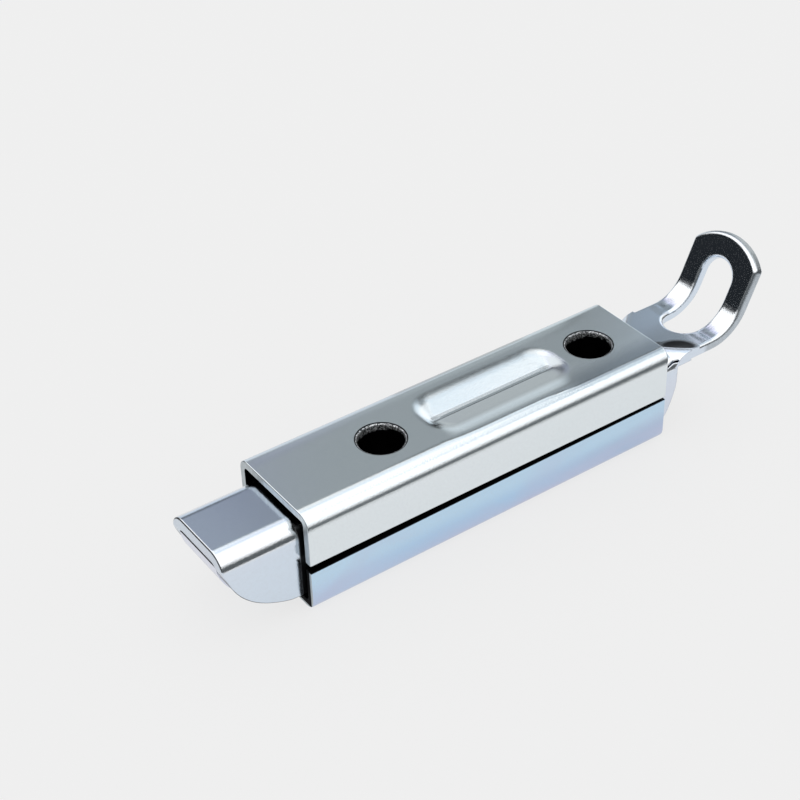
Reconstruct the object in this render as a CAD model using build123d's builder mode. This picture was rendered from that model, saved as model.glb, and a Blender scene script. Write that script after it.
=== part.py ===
"""Spring-loaded sliding bolt of folded, zinc-plated sheet steel.

A slotted channel-shaped bolt slides inside a housing made of two folded
channels, a cover above and a base below, which two screw bushes tie together.
A compression spring pushes the nose out; the bent-up loop at the other end
pulls it back.

Frame: +X towards the pull loop, nose at -X, +Z up. The origin is midway
between the two screw holes, on the underside of the base.
"""
import os
from math import atan, cos, radians, sin, sqrt, tan

from build123d import *

os.makedirs("parts", exist_ok=True)

# ------------------------------------------------------------------ housing
HOLE_PITCH = 35.4          # between the two screw holes
HOUSING_L = 60.0
REAR_OVERHANG = 7.8        # rear hole to the housing's rear end
HOUSING_W = 16.2
HOUSING_H = 15.4
SHEET = 1.2                # cover and base sheet
BEND_R = 1.7               # outside bend radius of cover and base
COVER_EDGE_Z = 7.52        # lower edge of the cover's flanges at the rear
COVER_EDGE_FRONT = 7.70    # and at the front
BASE_EDGE_Z = 7.14         # upper edge of the base's flanges at the rear
BASE_EDGE_FRONT = 6.57     # and at the front
EDGE_BREAK = 0.18          # rounding of the sheared edges

X_FRONT_HOLE = -HOLE_PITCH / 2
X_REAR_HOLE = HOLE_PITCH / 2
X_REAR = X_REAR_HOLE + REAR_OVERHANG
X_FRONT = X_REAR - HOUSING_L
COVER_UNDER = HOUSING_H - SHEET

# pressed oblong depression in the cover: a trough with long sides that ease in
# from the rim, sloping ends and a creased floor
DENT_X = 0.75
DENT_L = 23.2
DENT_W = 11.6
DENT_CORNER_R = 4.2
DENT_SLOPE = 12.5          # of its long sides
DENT_EASE = 3.0            # width over which they reach that slope
DENT_SHOULDER = 5.25       # from the rim in to the crease
DENT_DEPTH = 1.0
DENT_END_SLOPE = 34.0      # of its ends
DENT_STEPS = 10

# ------------------------------------------------------------------- bushes
BUSH_BORE = 6.4
BUSH_END_D = 7.1
BUSH_BODY_D = 7.4
BUSH_FLARE = 0.30
HOLE_D = 7.14              # holes in cover and base

# --------------------------------------------------------------------- bolt
BOLT_W = 12.6
BOLT_T = 1.8
BOLT_R = 2.7               # outside bend radius
NOSE_TOP = 13.4
BODY_TOP = 11.9
BOLT_FLOOR = 1.8           # lower edge of the bolt's flanges
X_TIP = X_FRONT - 11.4
X_STEP_0 = X_FRONT + 0.9   # the top steps down behind the nose
X_STEP_1 = X_FRONT + 3.9
X_CHANNEL_END = X_REAR + 1.5
X_FLANGE_END = X_REAR + 3.75
X_RUNOUT = X_REAR + 3.2    # the bends run out along the tab's sides from here
X_FLAT = X_REAR + 6.3      # and the tab is flat from here
PUCKER_RISE = 0.32         # ridge pushed up beside the run-out
PUCKER_REACH = 2.6
SLIT_DEPTH = 0.9           # at the end of each bend
X_CURL = X_REAR + 10.35    # the tab starts to bend up
CURL_R = 5.3               # on the concave side
CURL_DEG = 65.5
LOOP_CORNER = 6.2          # straight run of the loop's sides past the bend
LOOP_PEAK = 9.05           # and of its rounded end
LOOP_CORNER_R = 0.9
LOOP_EDGE_R = 0.55         # tumbled edges of the loop
LOOP_SLOT_R = 2.85
X_LOOP_SLOT = X_CURL      # centre of the slot's lower end
LOOP_SLOT_END = 2.4        # centre of the slot's upper end past the bend

TRAVEL = 11.5
GUIDE_R = 4.0              # half width of the guide slots
STOP_GAP = 0.3
TONGUE_HALF_W = 3.5
TONGUE_FLOOR = 3.0

# ramp of the nose: the flanges' lower edge, from the tip, as (x past the tip, z)
RAMP = [(0.0, 11.5), (0.6, 9.5), (1.5, 7.5), (3.1, 5.3), (5.6, 3.4), (8.5, 2.15), (11.9, BOLT_FLOOR)]
PLATE_TOP = [(-0.12, NOSE_TOP - BOLT_T + 0.1), (0.15, 9.8), (1.15, 7.55)]   # its plate stands out further there
TIP_EDGE_R = 0.28          # rounding of the tip
RAMP_T = 1.2               # plate that closes the nose underneath
RAMP_W = 8.94
RAMP_INSET = 0.12
RAMP_GAP = 0.32

# ------------------------------------------------------------------- spring
SPRING_R = 2.75            # to the centre of the wire
SPRING_WIRE = 0.8
SPRING_TURNS = 11
SPRING_Z = 6.6


# =================================================================== cover
dent = [(0.0, 0.0)]        # width in from the rim, depth
for n in range(DENT_STEPS):
    step = DENT_EASE / DENT_STEPS
    slope = radians(DENT_SLOPE * (n + 0.5) / DENT_STEPS)
    dent.append((dent[-1][0] + step, dent[-1][1] + step * tan(slope)))
straight = DENT_SHOULDER - DENT_EASE
dent.append((DENT_SHOULDER, dent[-1][1] + straight * tan(radians(DENT_SLOPE))))
dent.append((DENT_W / 2 - 0.18, DENT_DEPTH))

with BuildPart() as cover:
    with BuildSketch(Plane.YZ.offset(X_FRONT)):
        with Locations((0, (HOUSING_H + COVER_EDGE_Z) / 2)):
            Rectangle(HOUSING_W, HOUSING_H - COVER_EDGE_Z)
        fillet(vertices().group_by(Axis.Y)[-1], BEND_R)
    extrude(amount=HOUSING_L)
    with BuildSketch(Plane.YZ.offset(X_FRONT)):
        with Locations((0, (COVER_UNDER + COVER_EDGE_Z - 2) / 2)):
            Rectangle(HOUSING_W - 2 * SHEET, COVER_UNDER - COVER_EDGE_Z + 2)
        fillet(vertices().group_by(Axis.Y)[-1], BEND_R - SHEET)
    extrude(amount=HOUSING_L, mode=Mode.SUBTRACT)
    # the joint between cover and base is wider at the front
    with BuildSketch(Plane.XZ):
        with BuildLine():
            Polyline(
                (X_FRONT, COVER_EDGE_FRONT),
                (X_REAR, COVER_EDGE_Z),
                (X_REAR, COVER_EDGE_Z - 1),
                (X_FRONT, COVER_EDGE_Z - 1),
                close=True,
            )
        make_face()
    extrude(amount=HOUSING_W, both=True, mode=Mode.SUBTRACT)
    # sheared edges of the two ends and of the flanges
    sheared = cover.faces().sort_by(Axis.X)[0].edges() + cover.faces().sort_by(Axis.X)[-1].edges()
    for lip in cover.faces().sort_by(Axis.Z)[:2]:
        sheared += lip.edges().sort_by(SortBy.LENGTH)[-2:]
    fillet(sheared, EDGE_BREAK)
    # the pressed depression stands proud of the underside
    for rim_z, how in ((COVER_UNDER, Mode.ADD), (HOUSING_H, Mode.SUBTRACT)):
        for inset_y, depth in dent:
            width = DENT_W - 2 * inset_y
            with BuildSketch(Plane.XY.offset(rim_z - depth)):
                with Locations((DENT_X, 0)):
                    RectangleRounded(
                        DENT_L - 2 * depth / tan(radians(DENT_END_SLOPE)),
                        width,
                        min(DENT_CORNER_R - 0.45 * inset_y, 0.48 * width),
                    )
        loft(ruled=True, mode=how)
    with BuildSketch(Plane.XY.offset(HOUSING_H)):
        with Locations((X_FRONT_HOLE, 0), (X_REAR_HOLE, 0)):
            Circle(HOLE_D / 2)
    extrude(amount=-2 * SHEET, mode=Mode.SUBTRACT)

cover.part.label = "cover"
export_step(cover.part, "parts/cover.step")

# ==================================================================== base
with BuildPart() as base:
    with BuildSketch(Plane.YZ.offset(X_FRONT)):
        with Locations((0, BASE_EDGE_Z / 2)):
            Rectangle(HOUSING_W, BASE_EDGE_Z)
        fillet(vertices().group_by(Axis.Y)[0], BEND_R)
    extrude(amount=HOUSING_L)
    with BuildSketch(Plane.YZ.offset(X_FRONT)):
        with Locations((0, SHEET + BASE_EDGE_Z / 2)):
            Rectangle(HOUSING_W - 2 * SHEET, BASE_EDGE_Z)
        fillet(vertices().group_by(Axis.Y)[0], BEND_R - SHEET)
    extrude(amount=HOUSING_L, mode=Mode.SUBTRACT)
    with BuildSketch(Plane.XZ):
        with BuildLine():
            Polyline(
                (X_FRONT, BASE_EDGE_FRONT),
                (X_REAR, BASE_EDGE_Z),
                (X_REAR, BASE_EDGE_Z + 1),
                (X_FRONT, BASE_EDGE_Z + 1),
                close=True,
            )
        make_face()
    extrude(amount=HOUSING_W, both=True, mode=Mode.SUBTRACT)
    sheared = base.faces().sort_by(Axis.X)[0].edges() + base.faces().sort_by(Axis.X)[-1].edges()
    for lip in base.faces().sort_by(Axis.Z)[-2:]:
        sheared += lip.edges().sort_by(SortBy.LENGTH)[-2:]
    fillet(sheared, EDGE_BREAK)
    with BuildSketch(Plane.XY):
        with Locations((X_FRONT_HOLE, 0), (X_REAR_HOLE, 0)):
            Circle(HOLE_D / 2)
    extrude(amount=2 * SHEET, mode=Mode.SUBTRACT)

base.part.label = "base"
export_step(base.part, "parts/base.step")

# ================================================================== bushes
# A turned tube: its shoulders hold the two channels apart, and its ends are
# flared into their holes, flush with the outside.
END_SET = 0.06
for bush_name, bush_x in (("front_bush", X_FRONT_HOLE), ("rear_bush", X_REAR_HOLE)):
    with BuildPart() as bush:
        with BuildSketch(Plane.XZ):
            with BuildLine():
                Polyline(
                    (bush_x + BUSH_BORE / 2, END_SET),
                    (bush_x + BUSH_END_D / 2, END_SET),
                    (bush_x + BUSH_END_D / 2, SHEET),
                    (bush_x + BUSH_BODY_D / 2, SHEET),
                    (bush_x + BUSH_BODY_D / 2, COVER_UNDER),
                    (bush_x + BUSH_END_D / 2, COVER_UNDER),
                    (bush_x + BUSH_END_D / 2, HOUSING_H - END_SET),
                    (bush_x + BUSH_BORE / 2, HOUSING_H - END_SET),
                    close=True,
                )
            make_face()
        revolve(axis=Axis((bush_x, 0, 0), (0, 0, 1)), revolution_arc=360)
        mouths = [
            e
            for e in bush.edges().filter_by(GeomType.CIRCLE)
            if abs(e.radius - BUSH_BORE / 2) < 1e-3
        ]
        fillet(mouths, BUSH_FLARE)
    bush.part.label = bush_name
    export_step(bush.part, "parts/" + bush_name + ".step")


# ==================================================================== bolt
def channel_section(top):
    """Inverted U of the bolt, closed at the top."""
    h, t, r = BOLT_W / 2, BOLT_T, BOLT_R
    q = sqrt(0.5)
    i = r - t
    Line((-h, BOLT_FLOOR), (-h, top - r))
    ThreePointArc((-h, top - r), (-h + r - r * q, top - r + r * q), (-h + r, top))
    Line((-h + r, top), (h - r, top))
    ThreePointArc((h - r, top), (h - r + r * q, top - r + r * q), (h, top - r))
    Line((h, top - r), (h, BOLT_FLOOR))
    Line((h, BOLT_FLOOR), (h - t, BOLT_FLOOR))
    Line((h - t, BOLT_FLOOR), (h - t, top - r))
    ThreePointArc((h - t, top - r), (h - r + i * q, top - r + i * q), (h - r, top - t))
    Line((h - r, top - t), (-h + r, top - t))
    ThreePointArc((-h + r, top - t), (-h + r - i * q, top - r + i * q), (-h + t, top - r))
    Line((-h + t, top - r), (-h + t, BOLT_FLOOR))
    Line((-h + t, BOLT_FLOOR), (-h, BOLT_FLOOR))


curl = radians(CURL_DEG)
curl_end = (X_CURL + CURL_R * sin(curl), BODY_TOP + CURL_R * (1 - cos(curl)))
loop_plane = Plane(
    origin=(curl_end[0], 0, curl_end[1]),
    x_dir=(cos(curl), 0, sin(curl)),
    z_dir=(-sin(curl), 0, cos(curl)),
)
curl_axis_z = BODY_TOP + CURL_R


def strip_profile(x0, over, under, past):
    """Side view of the tab from x0 round its bend: over and under the top face."""
    c, s = cos(curl), sin(curl)
    ch, sh = cos(curl / 2), sin(curl / 2)
    ro, ru = CURL_R - over, CURL_R + under
    o_end = (X_CURL + ro * s, curl_axis_z - ro * c)
    u_end = (X_CURL + ru * s, curl_axis_z - ru * c)
    o_tip = (o_end[0] + past * c, o_end[1] + past * s)
    u_tip = (u_end[0] + past * c, u_end[1] + past * s)
    if x0 < X_CURL - 1e-6:
        Line((x0, BODY_TOP + over), (X_CURL, BODY_TOP + over))
    ThreePointArc(
        (X_CURL, BODY_TOP + over), (X_CURL + ro * sh, curl_axis_z - ro * ch), o_end
    )
    Line(o_end, o_tip)
    Line(o_tip, u_tip)
    Line(u_tip, u_end)
    ThreePointArc(
        u_end, (X_CURL + ru * sh, curl_axis_z - ru * ch), (X_CURL, BODY_TOP - under)
    )
    if x0 < X_CURL - 1e-6:
        Line((X_CURL, BODY_TOP - under), (x0, BODY_TOP - under))
    Line((x0, BODY_TOP - under), (x0, BODY_TOP + over))


def pucker_section(side, edge, size):
    """Ridge beside the bend's run-out, rising in a hollow curve to its edge."""
    reach, rise = size * PUCKER_REACH, size * PUCKER_RISE
    r = (reach * reach + rise * rise) / (2 * rise)
    a = atan(rise / reach)
    p0 = (side * (edge - reach), BODY_TOP)
    pm = (side * (edge - reach + r * sin(a)), BODY_TOP + r * (1 - cos(a)))
    p1 = (side * edge, BODY_TOP + rise)
    ThreePointArc(p0, pm, p1)
    Polyline(
        p1,
        (side * edge, BODY_TOP - 0.5),
        (side * (edge - reach), BODY_TOP - 0.5),
        p0,
    )


# the pull loop at the end of the bolt's tab, bent up out of it
with BuildPart() as loop:
    with BuildSketch(Plane.XZ):
        with BuildLine():
            strip_profile(X_FLAT, 0, BOLT_T, LOOP_PEAK + 1.0)
        make_face()
    extrude(amount=BOLT_W / 2, both=True)
    # rounded end
    half = BOLT_W / 2
    rise = LOOP_PEAK - LOOP_CORNER
    end_r = (half * half + rise * rise) / (2 * rise)
    with BuildSketch(loop_plane.offset(-2 * BOLT_T)):
        with Locations((LOOP_CORNER + 2.0, 0)):
            Rectangle(8.0, BOLT_W + 2)
        with Locations((LOOP_PEAK - end_r, 0)):
            Circle(end_r, mode=Mode.SUBTRACT)
    extrude(amount=3 * BOLT_T, mode=Mode.SUBTRACT)
    corners = loop.edges().filter_by(
        lambda e: e.geom_type == GeomType.LINE
        and abs(e.length - BOLT_T) < 0.01
        and abs(loop_plane.to_local_coords(e.center()).X - LOOP_CORNER) < 0.05
    )
    fillet(corners, LOOP_CORNER_R)
    # tumbled edges of the outline
    fillet(
        loop.edges().filter_by(
            lambda e: abs(e.length - BOLT_T) > 0.01
            and abs(e.length - BOLT_W) > 0.01
            and min(abs(v.Y) for v in e.vertices()) > BOLT_W / 2 - 0.5
        ),
        LOOP_EDGE_R,
    )
    # oblong slot through the bend
    with BuildSketch(Plane.XY.offset(BODY_TOP - 2 * BOLT_T)):
        with Locations((X_LOOP_SLOT, 0)):
            Circle(LOOP_SLOT_R)
    extrude(amount=2 * BOLT_T + 0.8, mode=Mode.SUBTRACT)
    with BuildSketch(Plane.XZ):
        with BuildLine():
            strip_profile(X_LOOP_SLOT, 0.8, BOLT_T + 0.8, LOOP_SLOT_END)
        make_face()
    extrude(amount=LOOP_SLOT_R, both=True, mode=Mode.SUBTRACT)
    with BuildSketch(loop_plane.offset(-2 * BOLT_T)):
        with Locations((LOOP_SLOT_END, 0)):
            Circle(LOOP_SLOT_R)
    extrude(amount=3 * BOLT_T, mode=Mode.SUBTRACT)
    fillet(
        loop.edges().filter_by(
            lambda e: abs(e.length - BOLT_T) > 0.01
            and abs(e.length - 2 * LOOP_SLOT_R) > 0.01
            and LOOP_SLOT_R - 0.01
            < max(abs(v.Y) for v in e.vertices())
            < LOOP_SLOT_R + 0.01
        ),
        LOOP_EDGE_R,
    )

SLOT_F0 = X_FRONT_HOLE - BUSH_BODY_D / 2 - TRAVEL - STOP_GAP
TONGUE_X = X_FRONT_HOLE + BUSH_BODY_D / 2 + STOP_GAP
SLOT_R0 = X_REAR_HOLE - BUSH_BODY_D / 2 - TRAVEL - STOP_GAP
SLOT_R1 = X_REAR_HOLE + BUSH_BODY_D / 2 + STOP_GAP

with BuildPart() as bolt:
    # nose, step and body of the channel
    with BuildSketch(Plane.YZ.offset(X_TIP)):
        with BuildLine():
            channel_section(NOSE_TOP)
        make_face()
    extrude(amount=X_STEP_0 - X_TIP)
    with BuildSketch(Plane.YZ.offset(X_STEP_0)):
        with BuildLine():
            channel_section(NOSE_TOP)
        make_face()
    with BuildSketch(Plane.YZ.offset(X_STEP_1)):
        with BuildLine():
            channel_section(BODY_TOP)
        make_face()
    loft(ruled=True)
    with BuildSketch(Plane.YZ.offset(X_STEP_1)):
        with BuildLine():
            channel_section(BODY_TOP)
        make_face()
    extrude(amount=X_CHANNEL_END - X_STEP_1)
    # flanges run on a little behind the last of the bends
    with BuildSketch(Plane.XZ):
        with BuildLine():
            Polyline(
                (X_CHANNEL_END - 2.0, BOLT_FLOOR),
                (X_FLANGE_END - 2.8, BOLT_FLOOR),
            )
            Spline(
                (X_FLANGE_END - 2.8, BOLT_FLOOR),
                (X_FLANGE_END - 1.25, 3.4),
                (X_FLANGE_END - 0.3, 6.0),
                (X_FLANGE_END, 8.2),
                tangents=((1, 0.25), (0, 1)),
            )
            Polyline(
                (X_FLANGE_END, 8.2),
                (X_FLANGE_END, 10.7),
                (X_CHANNEL_END, 10.4),
                (X_CHANNEL_END - 2.0, 9.0),
                (X_CHANNEL_END - 2.0, BOLT_FLOOR),
            )
        make_face()
    extrude(amount=BOLT_W / 2, both=True)
    with BuildSketch(Plane.YZ.offset(X_CHANNEL_END - 3.0)):
        with Locations((0, (BODY_TOP - BOLT_T) / 2)):
            Rectangle(BOLT_W - 2 * BOLT_T, BODY_TOP - BOLT_T - 0.04)
    extrude(amount=8.0, mode=Mode.SUBTRACT)
    # lower edge of the flanges: the curved ramp of the nose
    with BuildSketch(Plane.XZ):
        with BuildLine():
            Line((X_TIP, NOSE_TOP), (X_TIP + RAMP[0][0], RAMP[0][1]))
            Spline(
                [(X_TIP + x, z) for x, z in RAMP],
                tangents=((0.05, -1), (1, 0)),
            )
            Polyline(
                (X_TIP + RAMP[-1][0], BOLT_FLOOR),
                (X_TIP + RAMP[-1][0], 0),
                (X_TIP - 3, 0),
                (X_TIP - 3, NOSE_TOP),
                (X_TIP, NOSE_TOP),
            )
        make_face()
    extrude(amount=BOLT_W, both=True, mode=Mode.SUBTRACT)
    fillet(
        bolt.faces()
        .sort_by(Axis.X)[0]
        .edges()
        .filter_by(
            lambda e: e.center().Z > NOSE_TOP - 0.05
            or (e.geom_type == GeomType.CIRCLE and e.radius > BOLT_R - 0.05)
        ),
        TIP_EDGE_R,
    )
    # guide slots for the two bushes
    with BuildSketch(Plane.XY.offset(BODY_TOP - BOLT_T - 1.0)):
        with Locations((SLOT_F0 + GUIDE_R, 0), (SLOT_R0 + GUIDE_R, 0), (SLOT_R1 - GUIDE_R, 0)):
            Circle(GUIDE_R)
        with Locations(((SLOT_F0 + GUIDE_R + TONGUE_X) / 2, 0)):
            Rectangle(TONGUE_X - SLOT_F0 - GUIDE_R, 2 * GUIDE_R)
        with Locations(((SLOT_R0 + SLOT_R1) / 2, 0)):
            Rectangle(SLOT_R1 - SLOT_R0 - 2 * GUIDE_R, 2 * GUIDE_R)
        # relief beside the bent-down tongue
        for side in (-1, 1):
            with Locations((TONGUE_X + 1.2, side * (TONGUE_HALF_W + GUIDE_R) / 2)):
                Rectangle(2.4, GUIDE_R - TONGUE_HALF_W)
    extrude(amount=5.0, mode=Mode.SUBTRACT)
    # the tongue lanced out of the front slot is the spring's seat
    with BuildSketch(Plane.XY.offset(BODY_TOP - BOLT_R)):
        with Locations((TONGUE_X + BOLT_R / 2, 0)):
            Rectangle(BOLT_R, 2 * TONGUE_HALF_W)
    extrude(amount=3.0, mode=Mode.SUBTRACT)
    with BuildSketch(Plane.XZ):
        q = sqrt(0.5)
        with BuildLine():
            Line((TONGUE_X + BOLT_R, BODY_TOP), (TONGUE_X + BOLT_R + 1.0, BODY_TOP))
            Line(
                (TONGUE_X + BOLT_R + 1.0, BODY_TOP),
                (TONGUE_X + BOLT_R + 1.0, BODY_TOP - BOLT_T),
            )
            Line(
                (TONGUE_X + BOLT_R + 1.0, BODY_TOP - BOLT_T),
                (TONGUE_X + BOLT_R, BODY_TOP - BOLT_T),
            )
            i = BOLT_R - BOLT_T
            ThreePointArc(
                (TONGUE_X + BOLT_R, BODY_TOP - BOLT_T),
                (TONGUE_X + BOLT_R - i * q, BODY_TOP - BOLT_R + i * q),
                (TONGUE_X + BOLT_T, BODY_TOP - BOLT_R),
            )
            Polyline(
                (TONGUE_X + BOLT_T, BODY_TOP - BOLT_R),
                (TONGUE_X + BOLT_T, TONGUE_FLOOR),
                (TONGUE_X, TONGUE_FLOOR),
                (TONGUE_X, BODY_TOP - BOLT_R),
            )
            ThreePointArc(
                (TONGUE_X, BODY_TOP - BOLT_R),
                (TONGUE_X + BOLT_R - BOLT_R * q, BODY_TOP - BOLT_R + BOLT_R * q),
                (TONGUE_X + BOLT_R, BODY_TOP),
            )
        make_face()
    extrude(amount=TONGUE_HALF_W, both=True)
    # the tab behind the housing; the bends run out along its sides
    with BuildSketch(Plane.XY.offset(BODY_TOP - BOLT_T)):
        with Locations(((X_CHANNEL_END + X_FLAT) / 2, 0)):
            Rectangle(X_FLAT - X_CHANNEL_END, BOLT_W)
    extrude(amount=BOLT_T)
    slant = BOLT_R / (X_FLAT - X_RUNOUT)
    for side in (-1, 1):
        y0 = BOLT_W / 2 - BOLT_R
        z0 = BODY_TOP - BOLT_R
        q = sqrt(0.5)
        if side < 0:
            for x, size in ((X_RUNOUT - 1.9, 0.05), (X_RUNOUT + 0.4, 1.0)):
                with BuildSketch(Plane.YZ.offset(x)):
                    with BuildLine():
                        pucker_section(side, y0 + slant * (x - X_RUNOUT) + 0.15, size)
                    make_face()
            loft(ruled=True)
            with BuildSketch(Plane.YZ.offset(X_RUNOUT + 0.4)):
                with BuildLine():
                    pucker_section(side, y0 + slant * 0.4 + 0.15, 1.0)
                make_face()
            extrude(amount=5.6, dir=(1, side * slant, 0))
        with BuildSketch(Plane.XY.offset(BODY_TOP - 0.6)):
            with Locations((X_FLAT + 2, side * (BOLT_W / 2 + 2))):
                Rectangle(14, 4)
        extrude(amount=2, mode=Mode.SUBTRACT)
        for x, run, dy in (
            (X_CHANNEL_END, X_RUNOUT - X_CHANNEL_END, 0),
            (X_RUNOUT, X_FLAT - X_RUNOUT + 0.5, slant),
        ):
            with BuildSketch(Plane.YZ.offset(x)):
                with BuildLine():
                    ThreePointArc(
                        (side * (y0 + BOLT_R), z0),
                        (side * (y0 + BOLT_R * q), z0 + BOLT_R * q),
                        (side * y0, BODY_TOP),
                    )
                    Polyline(
                        (side * y0, BODY_TOP),
                        (side * y0, BODY_TOP + 0.7),
                        (side * (BOLT_W / 2 + 3.0), BODY_TOP + 0.7),
                        (side * (BOLT_W / 2 + 3.0), z0),
                        (side * (y0 + BOLT_R), z0),
                    )
                make_face()
            extrude(amount=run * sqrt(1 + dy * dy), dir=(1, side * dy, 0), mode=Mode.SUBTRACT)
    # slit between the flange and the tab at the end of each bend
    for y in (SLIT_DEPTH - BOLT_W / 2, BOLT_W / 2 + 1.0):
        with BuildSketch(Plane.XZ.offset(-y)):
            with BuildLine():
                Polyline(
                    (X_FLANGE_END - 1.75, 10.32),
                    (X_FLANGE_END + 0.2, 10.82),
                    (X_FLANGE_END + 0.2, 11.12),
                    (X_FLANGE_END - 1.75, 10.62),
                    close=True,
                )
            make_face()
        extrude(amount=SLIT_DEPTH + 1.0, mode=Mode.SUBTRACT)
    add(loop.part)

bolt.part.label = "bolt"
export_step(bolt.part, "parts/bolt.step")

# ============================================================== ramp plate
# A bent strip between the flanges, nearly flush with their edges, that closes
# the nose underneath.
plate_line = PLATE_TOP + RAMP[3:-1] + [(12.6, BOLT_FLOOR)]


def inset(points, by):
    """The ramp line moved inwards, square to itself."""
    moved = []
    for n, (x, z) in enumerate(points):
        before, after = points[max(n - 1, 0)], points[min(n + 1, len(points) - 1)]
        dx, dz = after[0] - before[0], after[1] - before[1]
        size = sqrt(dx * dx + dz * dz)
        moved.append((X_TIP + x - by * dz / size, z + by * dx / size))
    return moved


with BuildPart() as ramp_plate:
    face_line = inset(plate_line, RAMP_INSET)
    back_line = inset(plate_line, RAMP_INSET + RAMP_T)
    with BuildSketch(Plane.XZ):
        with BuildLine():
            Spline(face_line, tangents=((0.1, -1), (1, 0)))
            Line(face_line[-1], back_line[-1])
            Spline(back_line[::-1], tangents=((-1, 0), (-0.1, 1)))
            Line(back_line[0], face_line[0])
        make_face()
    extrude(amount=RAMP_W / 2, both=True)
    # its upper end stops just under the top of the bolt
    with BuildSketch(Plane.XY.offset(NOSE_TOP - BOLT_T - RAMP_GAP)):
        with Locations((X_TIP, 0)):
            Rectangle(10, 2 * RAMP_W)
    extrude(amount=2, mode=Mode.SUBTRACT)

ramp_plate.part.label = "ramp_plate"
export_step(ramp_plate.part, "parts/ramp_plate.step")

# ================================================================== spring
SPRING_X0 = TONGUE_X + BOLT_T + 0.05
SPRING_X1 = X_REAR_HOLE - BUSH_BODY_D / 2 - 0.05
spring_run = SPRING_X1 - SPRING_X0 - SPRING_WIRE
with BuildPart() as spring:
    with BuildLine() as coil:
        Helix(
            pitch=spring_run / SPRING_TURNS,
            height=spring_run,
            radius=SPRING_R,
            center=(SPRING_X0 + SPRING_WIRE / 2, 0, SPRING_Z),
            direction=(1, 0, 0),
        )
    with BuildSketch(Plane(origin=coil.line @ 0, z_dir=coil.line % 0)):
        Circle(SPRING_WIRE / 2)
    sweep(is_frenet=True)

spring.part.label = "spring"
export_step(spring.part, "parts/spring.step")
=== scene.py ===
import math

import bpy
from mathutils import Matrix, Vector


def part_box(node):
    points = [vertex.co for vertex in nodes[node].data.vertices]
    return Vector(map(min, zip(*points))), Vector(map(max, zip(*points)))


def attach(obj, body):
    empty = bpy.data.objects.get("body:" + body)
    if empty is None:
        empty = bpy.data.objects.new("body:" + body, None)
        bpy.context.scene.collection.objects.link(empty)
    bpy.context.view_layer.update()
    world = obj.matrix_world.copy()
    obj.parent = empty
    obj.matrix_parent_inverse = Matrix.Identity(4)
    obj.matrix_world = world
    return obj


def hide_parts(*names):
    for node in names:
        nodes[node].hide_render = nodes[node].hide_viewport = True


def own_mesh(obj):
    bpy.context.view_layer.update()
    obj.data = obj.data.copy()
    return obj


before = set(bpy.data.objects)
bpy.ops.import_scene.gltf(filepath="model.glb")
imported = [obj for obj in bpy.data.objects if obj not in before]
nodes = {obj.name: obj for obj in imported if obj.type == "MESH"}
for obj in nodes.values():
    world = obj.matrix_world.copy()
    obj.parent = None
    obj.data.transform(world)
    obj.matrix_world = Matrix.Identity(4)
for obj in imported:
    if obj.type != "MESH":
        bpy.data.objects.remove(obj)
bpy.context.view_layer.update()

scene = bpy.context.scene
MM = 0.001

# ------------------------------------------------------------------ camera
FOCAL_PX, FRAME_PX = 1732.83, 800.0
AZ, EL, ROLL = math.radians(-34.282), math.radians(36.457), math.radians(-1.905)
TARGET, TARGET_PX, DIST = Vector((-4.6, 0.0, 7.5)) * MM, (461.461, 448.468), 237.12 * MM

back = Vector((math.sin(AZ) * math.cos(EL), -math.cos(AZ) * math.cos(EL), math.sin(EL)))
right = Vector((math.cos(AZ), math.sin(AZ), 0.0))
up = back.cross(right)
right2 = math.cos(ROLL) * right + math.sin(ROLL) * up
up2 = -math.sin(ROLL) * right + math.cos(ROLL) * up
off_x = (TARGET_PX[0] - FRAME_PX / 2) / FOCAL_PX
off_y = (TARGET_PX[1] - FRAME_PX / 2) / FOCAL_PX
place = TARGET - DIST * (off_x * right2 - off_y * up2 - back)

cam_data = bpy.data.cameras.new("camera")
cam_data.sensor_fit = "HORIZONTAL"
cam_data.sensor_width = 36.0
cam_data.lens = FOCAL_PX / FRAME_PX * 36.0
cam_data.clip_start, cam_data.clip_end = 0.01, 50.0
cam = bpy.data.objects.new("camera", cam_data)
turn = Matrix((right2, up2, back)).transposed().to_4x4()
cam.matrix_world = Matrix.Translation(place) @ turn
scene.collection.objects.link(cam)
scene.camera = cam

scene.view_settings.view_transform = "Standard"
scene.view_settings.look = "None"


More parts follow.
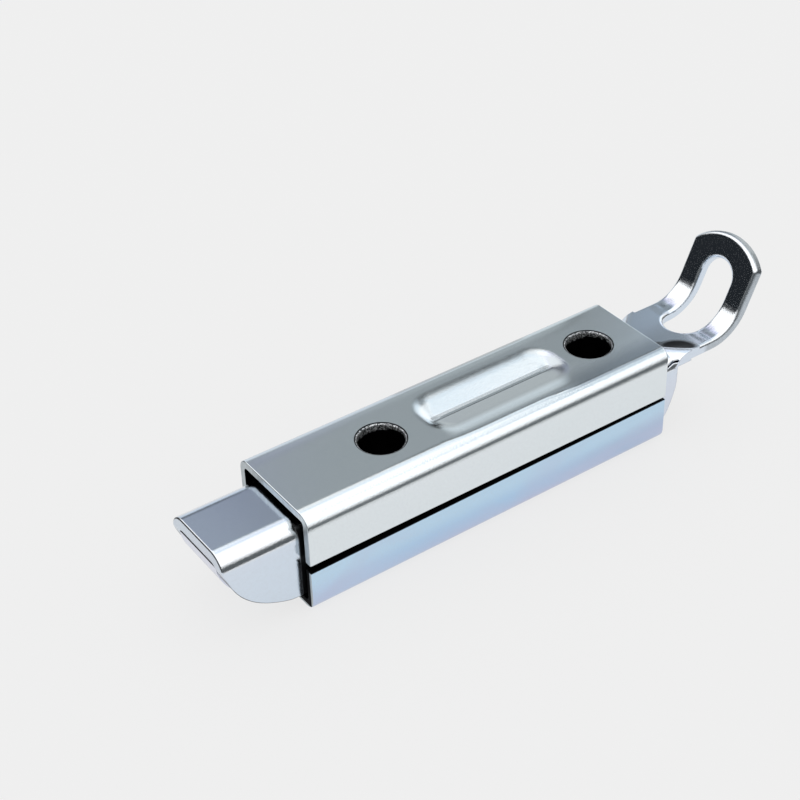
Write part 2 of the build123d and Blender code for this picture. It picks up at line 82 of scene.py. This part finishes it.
# ------------------------------------------------------------------ node helpers
class Tree:
    """A few short calls for building a node tree."""

    def __init__(self, tree):
        self.tree = tree
        self.n = tree.nodes
        self.n.clear()

    def add(self, kind, **props):
        node = self.n.new(kind)
        for key, value in props.items():
            setattr(node, key, value)
        return node

    def put(self, socket, value):
        if isinstance(value, bpy.types.NodeSocket):
            self.tree.links.new(value, socket)
        else:
            socket.default_value = value

    def math(self, op, a, b=0.0, clamp=False):
        node = self.add("ShaderNodeMath", operation=op, use_clamp=clamp)
        self.put(node.inputs[0], a)
        if len(node.inputs) > 1:
            self.put(node.inputs[1], b)
        return node.outputs[0]

    def ramp(self, x, lo, hi, to_lo=0.0, to_hi=1.0, smooth=True):
        node = self.add("ShaderNodeMapRange", clamp=True,
                        interpolation_type="SMOOTHSTEP" if smooth else "LINEAR")
        self.put(node.inputs["Value"], x)
        node.inputs["From Min"].default_value = lo
        node.inputs["From Max"].default_value = hi
        self.put(node.inputs["To Min"], to_lo)
        self.put(node.inputs["To Max"], to_hi)
        return node.outputs["Result"]

    def mix(self, fac, a, b):
        node = self.add("ShaderNodeMix", data_type="RGBA", blend_type="MIX", clamp_factor=True)
        self.put(node.inputs[0], fac)
        self.put(node.inputs[6], a)
        self.put(node.inputs[7], b)
        return node.outputs[2]

    def curve(self, x, stops):
        """A colour ramp from (position, colour) stops."""
        node = self.add("ShaderNodeValToRGB")
        node.color_ramp.interpolation = "EASE"
        el = node.color_ramp.elements
        while len(el) < len(stops):
            el.new(0.5)
        for e, (pos, colour) in zip(el, stops):
            e.position = pos
        for e, (pos, colour) in zip(el, stops):
            e.color = (*colour, 1.0)
        self.put(node.inputs[0], x)
        return node.outputs[0]

    def noise(self, vector, scale, detail=2.0, rough=0.5, distortion=0.0):
        node = self.add("ShaderNodeTexNoise", noise_dimensions="3D")
        self.put(node.inputs["Vector"], vector)
        node.inputs["Scale"].default_value = scale
        node.inputs["Detail"].default_value = detail
        node.inputs["Roughness"].default_value = rough
        node.inputs["Distortion"].default_value = distortion
        return node.outputs["Fac"]

    def stretch(self, vector, scale):
        node = self.add("ShaderNodeMapping", vector_type="POINT")
        self.put(node.inputs["Vector"], vector)
        node.inputs["Scale"].default_value = scale
        return node.outputs[0]


# ------------------------------------------------------------------ studio light
world = bpy.data.worlds.new("studio")
scene.world = world
world.use_nodes = True
world.cycles.sampling_method = "NONE"
w = Tree(world.node_tree)
direction = w.add("ShaderNodeTexCoord").outputs["Generated"]
split = w.add("ShaderNodeSeparateXYZ")
w.put(split.inputs[0], direction)
dx, dy, dz = split.outputs
elev = w.math("MULTIPLY", w.math("ARCSINE", dz), 180 / math.pi)
azim = w.math("MULTIPLY", w.math("ARCTAN2", dy, dx), 180 / math.pi)


def grey(v, tint=(1.0, 1.0, 1.0)):
    return tuple(v * t for t in tint)


def by_elevation(stops):
    """A colour for each elevation from -30 to 90 degrees."""
    return w.curve(w.ramp(elev, -30, 90, smooth=False), [((e + 30) / 120, c) for e, c in stops])


COOL = (0.92, 1.0, 1.04)
SLATE = (0.85, 1.0, 1.2)
SKY = (0.88, 1.0, 1.13)
# all round: a white ceiling down to a dark horizon
room = by_elevation([(-30, grey(0.11, COOL)), (12, grey(0.11, COOL)), (25, grey(0.9)), (33, grey(1.25)), (90, grey(1.30))])
# in front of the top faces: a grey wall, dark at its foot, with a light strip at the bottom
wall = by_elevation([(-30, grey(0.70)), (12, grey(0.72, COOL)), (17, grey(0.60, COOL)), (21.5, grey(0.20, COOL)),
                     (28, grey(0.17, COOL)), (33, grey(0.33, COOL)), (41, grey(0.355, COOL)), (45, grey(0.33, COOL)),
                     (48, grey(0.36, COOL)), (52, grey(0.85)), (57, grey(1.3)), (90, grey(1.3))])
# the part of it that the cover shows has a lighter foot
soft_wall = by_elevation([(-30, grey(0.70)), (12, grey(0.70, COOL)), (17, grey(0.62, COOL)), (21.5, grey(0.52, COOL)),
                          (28, grey(0.41, COOL)), (33, grey(0.335, COOL)), (41, grey(0.355, COOL)), (45, grey(0.33, COOL)),
                          (48, grey(0.36, COOL)), (52, grey(0.85)), (57, grey(1.3)), (90, grey(1.3))])
# its right edge: black at the foot, grey above
edge = by_elevation([(-30, grey(0.012)), (23, grey(0.012)), (28, grey(0.14, COOL)), (33, grey(0.32, COOL)),
                     (40, grey(0.33, COOL)), (45, grey(0.33, COOL)), (48, grey(0.40, COOL)), (51, grey(0.95)),
                     (90, grey(1.2))])
near_edge = by_elevation([(-30, grey(0.012)), (23, grey(0.012)), (28, grey(0.20, COOL)), (32, grey(0.45, SKY)),
                          (41, grey(0.46, SKY)), (45, grey(0.40, COOL)), (48, grey(0.45, COOL)), (51, grey(0.95)),
                          (90, grey(1.2))])
# to the right: a tall pale window, bluish on its far side
window = w.mix(w.ramp(azim, 31, 35.5), (*grey(1.14), 1.0), (0.83, 0.915, 0.985, 1.0))
# to the left at the back: near black up to a high white sheet
dark = by_elevation([(-30, grey(0.016, SLATE)), (17, grey(0.018, SLATE)), (25, grey(1.2)), (90, grey(1.3))])

edge = w.mix(w.ramp(azim, 45.8, 46.7), near_edge, edge)
front = w.mix(w.ramp(azim, 49.5, 52.5), edge, w.mix(w.ramp(azim, 64.5, 67.0), soft_wall, wall))
tinted = w.add("ShaderNodeMix", data_type="RGBA", blend_type="MULTIPLY", clamp_factor=True)
w.put(tinted.inputs[0], w.math("MULTIPLY", w.ramp(azim, 60.0, 63.0), w.ramp(elev, 23.0, 31.0, 0.3, 1.0)))
w.put(tinted.inputs[6], front)
tinted.inputs[7].default_value = (1.0, 0.98, 1.12, 1.0)
front = tinted.outputs[2]
in_front = w.math("MULTIPLY", w.ramp(azim, 41.4, 43.4), w.ramp(azim, 82, 100, 1.0, 0.0))
in_window = w.math("MULTIPLY", w.ramp(azim, 2, 10), w.ramp(azim, 41.4, 43.4, 1.0, 0.0))
in_dark = w.math("MULTIPLY", w.ramp(azim, 98, 112), w.ramp(azim, 176, 180, 1.0, 0.0))
studio = w.mix(in_front, w.mix(in_window, room, window), front)
studio = w.mix(in_dark, studio, dark)
# a duller strip of ceiling on the near side
in_strip = w.math("MULTIPLY", w.math("MULTIPLY", w.ramp(azim, -40, -32), w.ramp(azim, 29, 23, 0.0, 1.0)),
                  w.math("MULTIPLY", w.ramp(elev, 42, 46), w.ramp(elev, 60, 57)))
studio = w.mix(in_strip, studio, (0.58, 0.67, 0.74, 1.0))
# and a dark beam over the wall's right edge and the window
in_beam = w.math("MULTIPLY", w.math("MULTIPLY", w.ramp(azim, 28, 33), w.ramp(azim, 54, 50)),
                 w.math("MULTIPLY", w.ramp(elev, 39.5, 42), w.ramp(elev, 49, 46)))
studio = w.mix(in_beam, studio, (*grey(0.12, COOL), 1.0))

path = w.add("ShaderNodeLightPath")
soft = (0.955, 0.955, 0.955, 1.0)
lit = w.mix(path.outputs["Is Glossy Ray"], soft, studio)
shown = w.mix(path.outputs["Is Camera Ray"], lit, (0.855, 0.855, 0.855, 1.0))
sky = w.add("ShaderNodeBackground")
w.put(sky.inputs["Color"], shown)
sky.inputs["Strength"].default_value = 1.0
out = w.add("ShaderNodeOutputWorld")
w.put(out.inputs[0], sky.outputs[0])


# ------------------------------------------------------------------ floor
def disc(name, radius, z, segments=96):
    mesh = bpy.data.meshes.new(name)
    ring = [(radius * math.cos(2 * math.pi * i / segments), radius * math.sin(2 * math.pi * i / segments), z)
            for i in range(segments)]
    mesh.from_pydata(ring, [], [list(range(segments))])
    obj = bpy.data.objects.new(name, mesh)
    scene.collection.objects.link(obj)
    return obj


def pale(name, level, glow):
    """Pale paper under even light; glow is the share of light from below."""
    mat = bpy.data.materials.new(name)
    mat.use_nodes = True
    t = Tree(mat.node_tree)
    at = t.add("ShaderNodeTexCoord").outputs["Object"]
    grain = t.noise(at, 900.0, 3.0)
    matt = t.add("ShaderNodeBsdfDiffuse")
    t.put(matt.inputs["Color"], t.mix(grain, (*grey(level - 0.005), 1.0), (*grey(level + 0.005), 1.0)))
    lamp = t.add("ShaderNodeEmission")
    lamp.inputs["Color"].default_value = (*grey(0.955 * level), 1.0)
    both = t.add("ShaderNodeMixShader")
    both.inputs[0].default_value = glow
    t.put(both.inputs[1], matt.outputs[0])
    t.put(both.inputs[2], lamp.outputs[0])
    end = t.add("ShaderNodeOutputMaterial")
    t.put(end.inputs[0], both.outputs[0])
    return mat


floor = disc("floor", 3.0, 0.0)
floor.data.materials.append(pale("pale_paper", 0.906, 0.86))
floor.visible_glossy = False
table_top = disc("floor_table", 0.08, 0.00001)
table_top.data.materials.append(pale("table_paper", 0.84, 0.70))
table_top.visible_camera = False
table_top.visible_diffuse = False
table_top.visible_shadow = False
table_top.visible_transmission = False


# ------------------------------------------------------------------ zinc plating
class Surface(Tree):
    """A node tree with the place and the true normal of each point, in millimetres."""

    def __init__(self, name):
        self.mat = bpy.data.materials.new(name)
        self.mat.use_nodes = True
        super().__init__(self.mat.node_tree)
        self.at = self.add("ShaderNodeTexCoord").outputs["Object"]
        place = self.add("ShaderNodeSeparateXYZ")
        self.put(place.inputs[0], self.at)
        self.x, self.y, self.z = (self.math("MULTIPLY", o, 1000.0) for o in place.outputs)
        self.geo = self.add("ShaderNodeNewGeometry")
        facing = self.add("ShaderNodeSeparateXYZ")
        self.put(facing.inputs[0], self.geo.outputs["Normal"])
        self.nx, self.ny, self.nz = facing.outputs
        self.out_y = self.math("MULTIPLY", self.ny, self.math("SIGN", self.y))
        self.abs_y = self.math("ABSOLUTE", self.y)

    def both(self, *masks):
        m = masks[0]
        for other in masks[1:]:
            m = self.math("MULTIPLY", m, other)
        return m

    def either(self, *masks):
        m = masks[0]
        for other in masks[1:]:
            m = self.math("MAXIMUM", m, other)
        return m


def zinc(t, colour, rough, dark=None, sheared=None, torn_tint=0.46, lean=None, peel=1.0, rounded=None, wave=None, dull=None):
    """Bright zinc plate: a slight ripple and fine grain, orange peel on the bends, dull sheared edges, and painted
    shade near black where the dark mask is set.
    """
    mottle = t.noise(t.at, 2600.0, 2.0, 0.6)
    colour = t.mix(t.ramp(mottle, 0.35, 0.75, 0.0, 0.10), colour, (0.62, 0.65, 0.70, 1.0))
    rub = t.noise(t.stretch(t.at, (900.0, 5200.0, 5200.0)), 1.0, 2.0, 0.6)
    roughness = t.ramp(rub, 0.25, 0.8, rough - 0.03, rough + 0.05, smooth=False)
    if dull is not None:
        roughness = t.math("ADD", roughness, dull)
    if sheared is not None:
        torn = t.noise(t.stretch(t.at, (2500.0, 2500.0, 700.0)), 1.0, 3.0, 0.6)
        colour = t.mix(sheared, colour, t.mix(t.ramp(torn, 0.3, 0.7), (*grey(torn_tint * 1.12, COOL), 1.0),
                                              (*grey(torn_tint * 0.88, COOL), 1.0)))
        roughness = t.math("ADD", roughness, t.math("MULTIPLY", sheared, 0.30))
    if dark is not None:
        # painted shade: the colour goes near black where the dark mask is set
        colour = t.mix(dark, colour, (0.007, 0.007, 0.008, 1.0))
        roughness = t.math("ADD", roughness, t.math("MULTIPLY", dark, 0.3))
    normal = t.geo.outputs["Normal"]
    if rounded is not None:
        edge_wear = t.add("ShaderNodeBevel", samples=6)
        t.put(edge_wear.inputs["Radius"], rounded)
        normal = edge_wear.outputs[0]
    if lean is not None:
        sway = t.add("ShaderNodeCombineXYZ")
        t.put(sway.inputs[0], lean[0])
        t.put(sway.inputs[1], lean[1])
        t.put(sway.inputs[2], lean[2])
        add = t.add("ShaderNodeVectorMath", operation="ADD")
        t.put(add.inputs[0], normal)
        t.put(add.inputs[1], sway.outputs[0])
        unit = t.add("ShaderNodeVectorMath", operation="NORMALIZE")
        t.put(unit.inputs[0], add.outputs[0])
        normal = unit.outputs[0]
    ripple = t.noise(t.stretch(t.at, (160.0, 420.0, 420.0)), 1.0, 1.0, 0.4)
    if wave is not None:
        dents = t.noise(t.at, 520.0, 0.0, 0.5, 0.0)
        ripple = t.math("ADD", ripple, t.math("MULTIPLY", dents, wave))
    b1 = t.add("ShaderNodeBump")
    b1.inputs["Strength"].default_value = 1.0
    b1.inputs["Distance"].default_value = 9e-6
    t.put(b1.inputs["Height"], ripple)
    t.put(b1.inputs["Normal"], normal)
    # bends are stretched into a finer, deeper orange peel
    steep = t.either(*(t.math("ABSOLUTE", o) for o in (t.nx, t.ny, t.nz)))
    bent = t.ramp(steep, 0.995, 0.90)
    fine = t.noise(t.at, 4200.0, 2.0, 0.6)
    b2 = t.add("ShaderNodeBump")
    b2.inputs["Strength"].default_value = 1.0
    b2.inputs["Distance"].default_value = 1e-6
    depth = t.ramp(bent, 0.0, 1.0, 7.0, 7.0 + 17.0 * peel, smooth=False)
    t.put(b2.inputs["Height"], t.math("MULTIPLY", fine, depth))
    t.put(b2.inputs["Normal"], b1.outputs[0])
    shader = t.add("ShaderNodeBsdfPrincipled")
    t.put(shader.inputs["Base Color"], colour)
    shader.inputs["Metallic"].default_value = 1.0
    t.put(shader.inputs["Roughness"], roughness)
    t.put(shader.inputs["Normal"], b2.outputs[0])
    end = t.add("ShaderNodeOutputMaterial")
    t.put(end.inputs[0], shader.outputs[0])
    return t.mat


def dress(name, mat):
    obj = nodes[name]
    obj.data.materials.clear()
    obj.data.materials.append(mat)


def drift(t, a, b):
    """A slow change between two tints along the part."""
    cloud = t.noise(t.stretch(t.at, (30.0, 90.0, 90.0)), 1.0, 2.0, 0.55, 0.6)
    return t.mix(t.ramp(cloud, 0.32, 0.68), (*a, 1.0), (*b, 1.0))


cover_lo, cover_hi = (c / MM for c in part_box("cover"))
bolt_lo, bolt_hi = (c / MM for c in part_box("bolt"))

# cover
t = Surface("cover_zinc")
# painted shade: faces that look down or inwards are painted near black
painted_shade = t.either(t.ramp(t.nz, -0.2, -0.5), t.ramp(t.out_y, -0.3, -0.6))
ends = t.both(t.ramp(t.math("ABSOLUTE", t.nx), 0.55, 0.85),
              t.ramp(t.math("ABSOLUTE", t.math("SUBTRACT", t.x, (cover_lo.x + cover_hi.x) / 2)), 29.5, 29.7))
# the sheet curves a little beyond its bends, more so towards the nose, and the depression draws the near side in
upward = t.ramp(t.nz, 0.90, 0.97)
roll = t.both(t.ramp(t.y, -5.0, -6.4, 0.0, -0.24), t.ramp(t.x, -12.0, -6.0, 1.0, 0.0))
roll = t.math("ADD", roll, t.both(t.ramp(t.y, -5.6, -6.4, 0.0, -0.20), t.ramp(t.x, -12.0, -6.0), t.ramp(t.x, 11.0, 4.0)))
roll = t.math("ADD", roll, t.both(t.ramp(t.y, 4.2, 6.5, 0.0, 0.09), t.ramp(t.x, 24.0, 16.0)))
drawn = t.both(t.ramp(t.y, -2.8, -4.4, 0.0, 0.14), t.ramp(t.y, -6.0, -5.0), t.ramp(t.x, -11.5, -9.0), t.ramp(t.x, 11.5, 8.5))
roll = t.both(t.math("ADD", roll, drawn), upward)
shoulder = t.both(t.ramp(t.z, 12.3, 13.75, 0.0, 0.30), t.ramp(t.out_y, 0.55, 0.98))
hue = drift(t, (0.875, 0.93, 0.96), (0.865, 0.925, 0.95))
# painted shade: the depression's right end wall is painted darker
dent_end_shade = t.both(t.ramp(t.nx, -0.12, -0.40), t.ramp(t.x, 9.0, 10.0), t.ramp(t.x, 14.0, 13.0), t.ramp(t.abs_y, 4.5, 3.0))
hue = t.mix(t.math("MULTIPLY", dent_end_shade, 0.9), hue, (0.60, 0.65, 0.68, 1.0))
# painted shade: the near side of the top, from the depression's right end back, is painted darker towards the near bend
near_side_shade = t.both(t.ramp(t.y, -2.4, -6.3, 0.0, 0.85), t.ramp(t.x, 6.5, 12.5), upward)
hue = t.mix(near_side_shade, hue, (0.45, 0.50, 0.55, 1.0))
# the depression's near wall is painted greyer as shade, and its ends run out softly
near_wall_shade = t.both(t.ramp(t.ny, 0.10, 0.20), t.ramp(t.nz, 0.6, 0.7), t.ramp(t.x, -12.0, -9.5), t.ramp(t.x, 12.5, 10.5))
hue = t.mix(near_wall_shade, hue, (0.66, 0.68, 0.685, 1.0))
runout = t.both(t.either(t.both(t.ramp(t.x, -7.6, -8.8), t.ramp(t.x, -13.6, -12.6)), t.both(t.ramp(t.x, 8.8, 10.0), t.ramp(t.x, 13.2, 12.6))),
                t.ramp(t.abs_y, 5.8, 5.2, 0.0, 1.1 * MM), t.ramp(t.nz, 0.6, 0.7))
dress("cover", zinc(t, hue, 0.13, painted_shade, ends, torn_tint=0.60, rounded=runout, lean=(0.0, roll, shoulder), dull=t.math("MULTIPLY", shoulder, 0.35)))

# base
t = Surface("base_zinc")
# painted shade: the floor within and the inward faces are painted near black
painted_shade = t.either(t.ramp(t.nz, 0.3, 0.7), t.ramp(t.out_y, -0.3, -0.6))
ends = t.both(t.ramp(t.math("ABSOLUTE", t.nx), 0.55, 0.85),
              t.ramp(t.math("ABSOLUTE", t.math("SUBTRACT", t.x, (cover_lo.x + cover_hi.x) / 2)), 29.5, 29.7))
# painted light and shade: the base's blue is lighter towards the front and the tops of its flanks, darker towards the
# rear, and a darker lavender low down, mixed with a random cloud
blue = t.mix(t.ramp(t.x, -34.0, -14.0), (0.60, 0.75, 0.95, 1.0), (0.51, 0.71, 0.945, 1.0))
blue = t.mix(t.ramp(t.x, 0.0, 24.0), blue, (0.47, 0.61, 0.80, 1.0))
cloud = t.noise(t.stretch(t.at, (60.0, 120.0, 160.0)), 1.0, 2.0, 0.5, 0.8)
low = t.math("ADD", t.ramp(t.z, 4.5, 0.8, 0.0, 0.75), t.ramp(cloud, 0.35, 0.75, -0.25, 0.35), clamp=True)
# painted shade: the inner part of the cut end faces is painted near black too
painted_shade = t.either(painted_shade, t.both(ends, t.ramp(t.abs_y, 7.75, 7.6), t.ramp(t.z, 0.4, 0.55)))
blue = t.mix(t.ramp(t.z, 2.6, 5.6, 0.0, 0.8), blue, (0.62, 0.83, 1.0, 1.0))
dress("base", zinc(t, t.mix(low, blue, (0.60, 0.66, 0.86, 1.0)), 0.15, painted_shade, ends, torn_tint=0.60))

# bolt and the plate under its nose
t = Surface("bolt_zinc")
behind = t.ramp(t.x, 31.0, 30.0)
# painted shade: the channel's down and inward faces are painted near black
painted_shade = t.both(behind, t.either(t.ramp(t.nz, -0.2, -0.5), t.ramp(t.out_y, -0.3, -0.6)))
hue = drift(t, (0.77, 0.86, 0.965), (0.79, 0.845, 0.95))
# the flat of the nose is a little bluer, and a painted reflection makes it lightest at its tip and darker towards the
# back
flat = t.both(t.ramp(t.nz, 0.985, 0.997), t.ramp(t.x, -32.0, -33.0))
hue = t.mix(flat, hue, t.mix(t.ramp(t.x, -46.0, -35.0), (0.83, 0.925, 1.0, 1.0), (0.70, 0.775, 0.88, 1.0)))
# painted highlight: the bends are painted lighter
bends = t.both(t.ramp(t.nz, 0.975, 0.93), t.ramp(t.nz, 0.15, 0.35))
hue = t.mix(t.math("MULTIPLY", bends, 0.8), hue, (0.93, 0.95, 0.965, 1.0))
# painted shade: the flat of the tab darkens towards its near side
tab = t.both(t.ramp(t.nz, 0.985, 0.997), t.ramp(t.x, 24.0, 25.5), t.ramp(t.x, 37.5, 35.0), t.ramp(t.y, 4.5, -2.5))
hue = t.mix(tab, hue, (0.53, 0.575, 0.62, 1.0))
outward = t.math("ADD", t.math("MULTIPLY", t.nx, 0.415), t.math("MULTIPLY", t.nz, 0.91))
rim = t.both(t.ramp(t.x, 34.0, 35.0), t.either(t.both(t.ramp(t.x, 42.6, 43.4), t.ramp(outward, 0.55, 0.85)),
                                             t.both(t.ramp(t.out_y, 0.7, 0.95, 0.0, 0.6), t.ramp(t.abs_y, 6.0, 6.2))))
tip = t.ramp(t.nx, -0.85, -0.97)
tip = t.both(tip, t.ramp(t.x, -44.5, -45.0))
# a painted dark reflection: an oval beside the ridge, where the near bend runs out, is painted near black
along = t.math("ADD", t.math("MULTIPLY", t.math("SUBTRACT", t.x, 30.9), 0.66), t.math("MULTIPLY", t.math("ADD", t.y, 4.45), -0.75))
across = t.math("ADD", t.math("MULTIPLY", t.math("SUBTRACT", t.x, 30.9), 0.68), t.math("MULTIPLY", t.math("ADD", t.y, 4.45), 0.73))
across = t.either(t.math("DIVIDE", across, 1.75), t.math("DIVIDE", across, -0.95))
along = t.math("DIVIDE", along, 2.85)
dark_reflection_patch = t.math("ADD", t.math("MULTIPLY", along, along), t.math("MULTIPLY", across, across))
dark_reflection_patch = t.both(t.ramp(dark_reflection_patch, 1.2, 0.45, 0.0, 0.985), t.ramp(t.nz, 0.3, 0.5), t.ramp(t.z, 10.8, 11.0))
painted_shade = t.either(painted_shade, dark_reflection_patch)
# the flanks just within the housing's mouth are painted black as shade
painted_shade = t.either(painted_shade, t.both(t.ramp(t.x, -35.0, -34.7, 0.0, 0.97), t.ramp(t.x, -24.0, -26.0), t.ramp(t.out_y, 0.5, 0.8)))
# a painted dark reflection along the line where the top of the tip is rounded off
painted_shade = t.either(painted_shade, t.both(t.ramp(t.x, -44.5, -45.0), t.ramp(t.nx, -0.45, -0.62), t.ramp(t.nx, -0.985, -0.93),
                                 t.ramp(t.nz, 0.1, 0.25, 0.0, 0.85)))
# the bend into the loop is slightly uneven
uneven = t.both(t.ramp(t.x, 34.0, 35.5, 0.0, 9.0), t.ramp(t.x, 42.0, 40.5))
dress("bolt", zinc(t, hue, 0.12, painted_shade, t.either(rim, t.math("MULTIPLY", tip, 0.25)), torn_tint=0.44, peel=0.4,
                   rounded=0.22 * MM, wave=uneven))
t = Surface("bolt_plate_zinc")
# painted shade: the plate's upper end under the top sheet is painted near black
painted_shade = t.either(t.both(t.ramp(t.nz, 0.2, 0.5), t.ramp(t.z, 10.5, 10.8)), t.ramp(t.z, 11.08, 11.18))
dress("ramp_plate", zinc(t, drift(t, (0.80, 0.83, 0.95), (0.82, 0.84, 0.95)), 0.16, painted_shade))

# bushes: bright metal at the mouths, painted black within as shade
bush = Surface("bush_zinc")
t = bush
from_x = t.math("SUBTRACT", t.math("ABSOLUTE", t.x), (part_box("rear_bush")[0].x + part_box("rear_bush")[1].x) / 2 / MM)
radius = t.math("SQRT", t.math("ADD", t.math("MULTIPLY", from_x, from_x), t.math("MULTIPLY", t.y, t.y)))
deep = t.math("ADD", t.z, t.ramp(t.noise(t.at, 1500.0, 3.0, 0.6), 0.25, 0.75, -0.35, 0.35, smooth=False))
deep = t.math("ADD", deep, t.ramp(t.y, 1.0, 3.2, 0.0, 0.35))
mouth = t.both(t.ramp(deep, 14.5, 14.95), t.ramp(radius, 3.44, 3.36))
speck = t.noise(t.at, 5200.0, 3.0, 0.7)
metal = t.mix(t.ramp(speck, 0.44, 0.60), (0.04, 0.045, 0.05, 1.0), (0.80, 0.83, 0.85, 1.0))
shader = t.add("ShaderNodeBsdfPrincipled")
# painted shade: below the mouth the bore is near black
t.put(shader.inputs["Base Color"], t.mix(mouth, (0.006, 0.006, 0.007, 1.0), metal))
t.put(shader.inputs["Metallic"], t.ramp(mouth, 0.0, 1.0, 1.0, 0.7))
shader.inputs["Roughness"].default_value = 0.35
end = t.add("ShaderNodeOutputMaterial")
t.put(end.inputs[0], shader.outputs[0])
dress("front_bush", bush.mat)
dress("rear_bush", bush.mat)


# ------------------------------------------------------------------ return spring
def coil(name, x0, x1, z, radius, wire, turns, sides=12, per_turn=40):
    """A closed-end helical wire along X."""
    steps = int(turns * per_turn)
    verts, faces = [], []
    for i in range(steps + 1):
        s = i / steps
        angle = 2 * math.pi * turns * s
        # the end turns lie closed, wire on wire
        lead = 1.15 * wire
        inner = (x1 - x0 - wire) - 2 * lead
        k = turns * s
        if k < 1:
            x = lead * k
        elif k > turns - 1:
            x = lead + inner + lead * (k - (turns - 1))
        else:
            x = lead + inner * (k - 1) / (turns - 2)
        x += x0 + wire / 2
        radial = Vector((0.0, math.cos(angle), math.sin(angle)))
        centre = Vector((x, 0.0, z)) + radius * radial
        for j in range(sides):
            a = 2 * math.pi * j / sides
            verts.append(centre + (wire / 2) * (math.cos(a) * radial + math.sin(a) * Vector((1.0, 0.0, 0.0))))
    for i in range(steps):
        for j in range(sides):
            a, b = i * sides + j, i * sides + (j + 1) % sides
            faces.append((a, b, b + sides, a + sides))
    faces.append(tuple(range(sides)))
    faces.append(tuple(reversed(range(steps * sides, (steps + 1) * sides))))
    mesh = bpy.data.meshes.new(name)
    mesh.from_pydata(verts, [], faces)
    mesh.validate()
    for poly in mesh.polygons:
        poly.use_smooth = len(poly.vertices) == 4
    obj = bpy.data.objects.new(name, mesh)
    scene.collection.objects.link(obj)
    return obj


lo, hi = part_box("spring")
spring = coil("return_spring", lo.x, hi.x, (lo.z + hi.z) / 2, 2.75 * MM, 0.8 * MM, 11)
t = Surface("spring_steel")
spring.data.materials.append(zinc(t, drift(t, (0.62, 0.64, 0.66), (0.55, 0.57, 0.60)), 0.28))
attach(spring, "housing")
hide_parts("spring")
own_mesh(spring)
